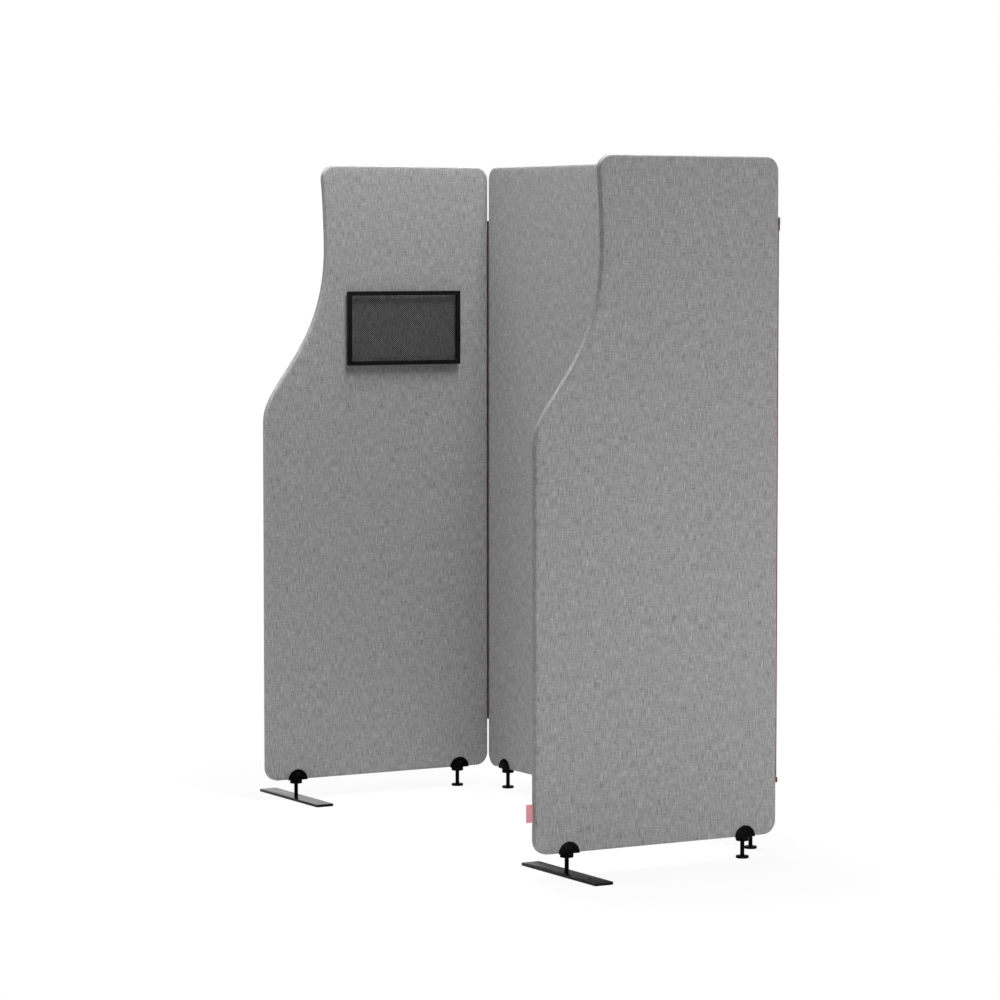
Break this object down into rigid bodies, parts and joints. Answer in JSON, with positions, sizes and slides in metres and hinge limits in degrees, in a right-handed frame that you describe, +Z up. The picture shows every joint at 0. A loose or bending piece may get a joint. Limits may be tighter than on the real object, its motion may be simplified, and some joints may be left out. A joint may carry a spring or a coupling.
{
  "type": "acoustic divider screen",
  "caption": "Free-standing upholstered acoustic screen: panels zipped end to end into a U, S-cut wings, mesh board, flat bar feet and round levelling feet.",
  "frame": {"origin": "on the floor, at the middle of the bounding box's underside", "axes": "+X along the back of the U to the right as seen from inside, the open side faces -Y, +Z up"},
  "size_m": [2.028, 0.835, 1.962],
  "materials": {
    "timber": "plain planed softwood",
    "core": "sound-absorbing felt",
    "padding": "white padding sheet",
    "cover": "grey melange woven upholstery cover",
    "tape": "dark red woven zip tape",
    "teeth": "dark moulded zip teeth",
    "clamp": "black powder-coated steel",
    "screw": "black oxide steel",
    "rim": "black powder-coated rim",
    "mesh": "black powder-coated mesh",
    "peg": "black moulded peg",
    "label": "bare pink textile tab",
    "slider": "dark lacquered die-cast metal",
    "bar": "black powder-coated flat steel",
    "foot": "black powder-coated steel"
  },
  "bodies": {
    "left_back": {"left_back_frame": "timber", "left_back_core": "core", "left_back_padding": "padding", "left_back_cover": "cover", "left_zip_back_tape": "tape", "left_zip_teeth": "teeth", "middle_zip_left_tape": "tape", "middle_zip_teeth": "teeth", "left_back_outer_clamp": "clamp", "left_back_inner_clamp": "clamp", "left_back_clamp_screws": "screw"},
    "left_wing": {"left_wing_frame": "timber", "left_wing_core": "core", "left_wing_padding": "padding", "left_wing_cover": "cover", "left_zip_wing_tape": "tape", "left_wing_rear_clamp": "clamp", "left_wing_front_clamp": "clamp", "left_wing_clamp_screws": "screw", "left_wing_bar_bolt": "screw", "mesh_board_rim": "rim", "mesh_board_net": "mesh", "mesh_board_pegs": "peg"},
    "right_back": {"right_back_frame": "timber", "right_back_core": "core", "right_back_padding": "padding", "right_back_cover": "cover", "middle_zip_right_tape": "tape", "right_zip_back_tape": "tape", "right_zip_teeth": "teeth", "right_back_outer_clamp": "clamp", "right_back_inner_clamp": "clamp", "right_back_clamp_screws": "screw"},
    "right_wing": {"right_wing_frame": "timber", "right_wing_core": "core", "right_wing_padding": "padding", "right_wing_cover": "cover", "right_zip_wing_tape": "tape", "right_wing_rear_clamp": "clamp", "right_wing_front_clamp": "clamp", "right_wing_clamp_screws": "screw", "right_wing_bar_bolt": "screw", "label": "label"},
    "left_zip_slider": {"left_zip_slider": "slider"},
    "left_zip_pull": {"left_zip_pull": "slider"},
    "middle_zip_slider": {"middle_zip_slider": "slider"},
    "middle_zip_pull": {"middle_zip_pull": "slider"},
    "right_zip_slider": {"right_zip_slider": "slider"},
    "right_zip_pull": {"right_zip_pull": "slider"},
    "left_wing_bar_foot": {"left_wing_bar_foot": "bar"},
    "right_wing_bar_foot": {"right_wing_bar_foot": "bar"},
    "left_wing_rear_foot": {"left_wing_rear_foot": "foot"},
    "left_back_outer_foot": {"left_back_outer_foot": "foot"},
    "left_back_inner_foot": {"left_back_inner_foot": "foot"},
    "right_back_inner_foot": {"right_back_inner_foot": "foot"},
    "right_back_outer_foot": {"right_back_outer_foot": "foot"},
    "right_wing_rear_foot": {"right_wing_rear_foot": "foot"}
  },
  "joints": [
    {"name": "left_fold", "type": "hinge", "parent": "left_back", "child": "left_wing", "pos_m": [-0.8165, 0.39877, 1.012], "axis": [0, 0, 1], "range_deg": [-180, 5]},
    {"name": "middle_fold", "type": "hinge", "parent": "left_back", "child": "right_back", "pos_m": [0, 0.39877, 1.012], "axis": [0, 0, -1], "range_deg": [-60, 60]},
    {"name": "right_fold", "type": "hinge", "parent": "right_back", "child": "right_wing", "pos_m": [0.8165, 0.39877, 1.012], "axis": [0, 0, -1], "range_deg": [-180, 5]},
    {"name": "left_zip_slide", "type": "slide", "parent": "left_back", "child": "left_zip_slider", "axis": [0, 0, -1], "range_m": [0, 1.552]},
    {"name": "left_zip_pull_swing", "type": "hinge", "parent": "left_zip_slider", "child": "left_zip_pull", "pos_m": [-0.8115, 0.40408, 1.7846], "axis": [1, 0, 0], "range_deg": [0, 120]},
    {"name": "middle_zip_slide", "type": "slide", "parent": "left_back", "child": "middle_zip_slider", "axis": [0, 0, -1], "range_m": [0, 1.552]},
    {"name": "middle_zip_pull_swing", "type": "hinge", "parent": "middle_zip_slider", "child": "middle_zip_pull", "pos_m": [-0.005, 0.40408, 1.7846], "axis": [1, 0, 0], "range_deg": [0, 120]},
    {"name": "right_zip_slide", "type": "slide", "parent": "right_back", "child": "right_zip_slider", "axis": [0, 0, -1], "range_m": [0, 1.552]},
    {"name": "right_zip_pull_swing", "type": "hinge", "parent": "right_zip_slider", "child": "right_zip_pull", "pos_m": [0.8115, 0.40408, 1.7846], "axis": [1, 0, 0], "range_deg": [0, 120]},
    {"name": "left_wing_bar_turn", "type": "hinge", "parent": "left_wing", "child": "left_wing_bar_foot", "pos_m": [-0.8165, -0.28902, 0.004], "axis": [0, 0, 1], "range_deg": [-90, 90]},
    {"name": "right_wing_bar_turn", "type": "hinge", "parent": "right_wing", "child": "right_wing_bar_foot", "pos_m": [0.8165, -0.28902, 0.004], "axis": [0, 0, 1], "range_deg": [-90, 90]},
    {"name": "left_wing_rear_level", "type": "slide", "parent": "left_wing", "child": "left_wing_rear_foot", "axis": [0, 0, -1], "range_m": [0, 0.012]},
    {"name": "left_back_outer_level", "type": "slide", "parent": "left_back", "child": "left_back_outer_foot", "axis": [0, 0, -1], "range_m": [0, 0.012]},
    {"name": "left_back_inner_level", "type": "slide", "parent": "left_back", "child": "left_back_inner_foot", "axis": [0, 0, -1], "range_m": [0, 0.012]},
    {"name": "right_back_inner_level", "type": "slide", "parent": "right_back", "child": "right_back_inner_foot", "axis": [0, 0, -1], "range_m": [0, 0.012]},
    {"name": "right_back_outer_level", "type": "slide", "parent": "right_back", "child": "right_back_outer_foot", "axis": [0, 0, -1], "range_m": [0, 0.012]},
    {"name": "right_wing_rear_level", "type": "slide", "parent": "right_wing", "child": "right_wing_rear_foot", "axis": [0, 0, -1], "range_m": [0, 0.012]}
  ]
}
